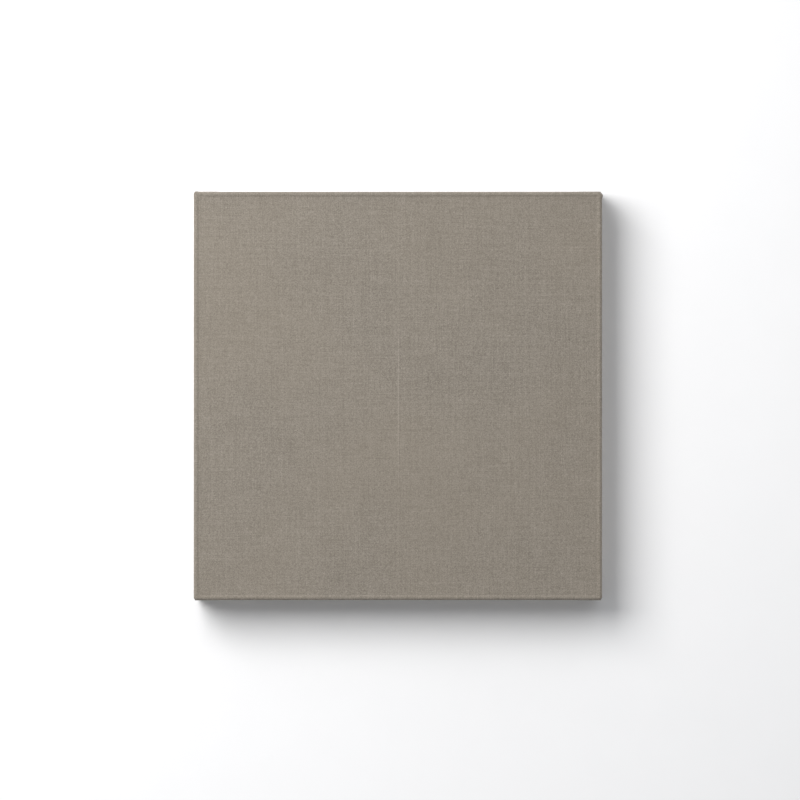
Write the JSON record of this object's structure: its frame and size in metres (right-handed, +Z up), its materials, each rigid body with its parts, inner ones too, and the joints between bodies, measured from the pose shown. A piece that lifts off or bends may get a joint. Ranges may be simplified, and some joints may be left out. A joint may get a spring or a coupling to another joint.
{
  "type": "stretched canvas",
  "caption": "Square gallery-wrapped linen canvas on keyed stretcher bars with a raised rounded rim, sawtooth hanger and wall bumpers.",
  "frame": {"origin": "middle of the bottom edge, halfway through the depth", "axes": "+Z up, +X to the right seen from the front, the cloth's face looks along -Y and the wall side along +Y"},
  "size_m": [0.305, 0.041, 0.305],
  "materials": {
    "linen": "fine plain-woven taupe linen, matt, stretched tight",
    "pine": "planed pine, unfinished",
    "key_wood": "sawn beech, unfinished",
    "staple_steel": "galvanised wire",
    "hanger_steel": "brass-plated sheet, satin",
    "nail_steel": "brass-plated, satin",
    "bumper": "matt dark grey rubber"
  },
  "bodies": {
    "stretched_frame": {"canvas_cloth": "linen", "stretcher_bar_bottom": "pine", "stretcher_bar_left": "pine", "stretcher_bar_top": "pine", "stretcher_bar_right": "pine", "staples_bottom": "staple_steel", "staples_left": "staple_steel", "staples_top": "staple_steel", "staples_right": "staple_steel", "corner_staples": "staple_steel", "sawtooth_hanger": "hanger_steel", "hanger_nails": "nail_steel", "bumper_left": "bumper", "bumper_right": "bumper"},
    "key_bottom_bar_right": {"key_bottom_bar_right": "key_wood"},
    "key_bottom_bar_left": {"key_bottom_bar_left": "key_wood"},
    "key_left_bar_bottom": {"key_left_bar_bottom": "key_wood"},
    "key_left_bar_top": {"key_left_bar_top": "key_wood"},
    "key_top_bar_left": {"key_top_bar_left": "key_wood"},
    "key_top_bar_right": {"key_top_bar_right": "key_wood"},
    "key_right_bar_top": {"key_right_bar_top": "key_wood"},
    "key_right_bar_bottom": {"key_right_bar_bottom": "key_wood"}
  },
  "joints": [
    {"name": "slide_bottom_bar_right", "type": "slide", "parent": "stretched_frame", "child": "key_bottom_bar_right", "axis": [0, 0, 1], "range_m": [0, 0.028]},
    {"name": "slide_bottom_bar_left", "type": "slide", "parent": "stretched_frame", "child": "key_bottom_bar_left", "axis": [0, 0, 1], "range_m": [0, 0.028]},
    {"name": "slide_left_bar_bottom", "type": "slide", "parent": "stretched_frame", "child": "key_left_bar_bottom", "axis": [1, 0, 0], "range_m": [0, 0.028]},
    {"name": "slide_left_bar_top", "type": "slide", "parent": "stretched_frame", "child": "key_left_bar_top", "axis": [1, 0, 0], "range_m": [0, 0.028]},
    {"name": "slide_top_bar_left", "type": "slide", "parent": "stretched_frame", "child": "key_top_bar_left", "axis": [0, 0, -1], "range_m": [0, 0.028]},
    {"name": "slide_top_bar_right", "type": "slide", "parent": "stretched_frame", "child": "key_top_bar_right", "axis": [0, 0, -1], "range_m": [0, 0.028]},
    {"name": "slide_right_bar_top", "type": "slide", "parent": "stretched_frame", "child": "key_right_bar_top", "axis": [-1, 0, 0], "range_m": [0, 0.028]},
    {"name": "slide_right_bar_bottom", "type": "slide", "parent": "stretched_frame", "child": "key_right_bar_bottom", "axis": [-1, 0, 0], "range_m": [0, 0.028]}
  ]
}
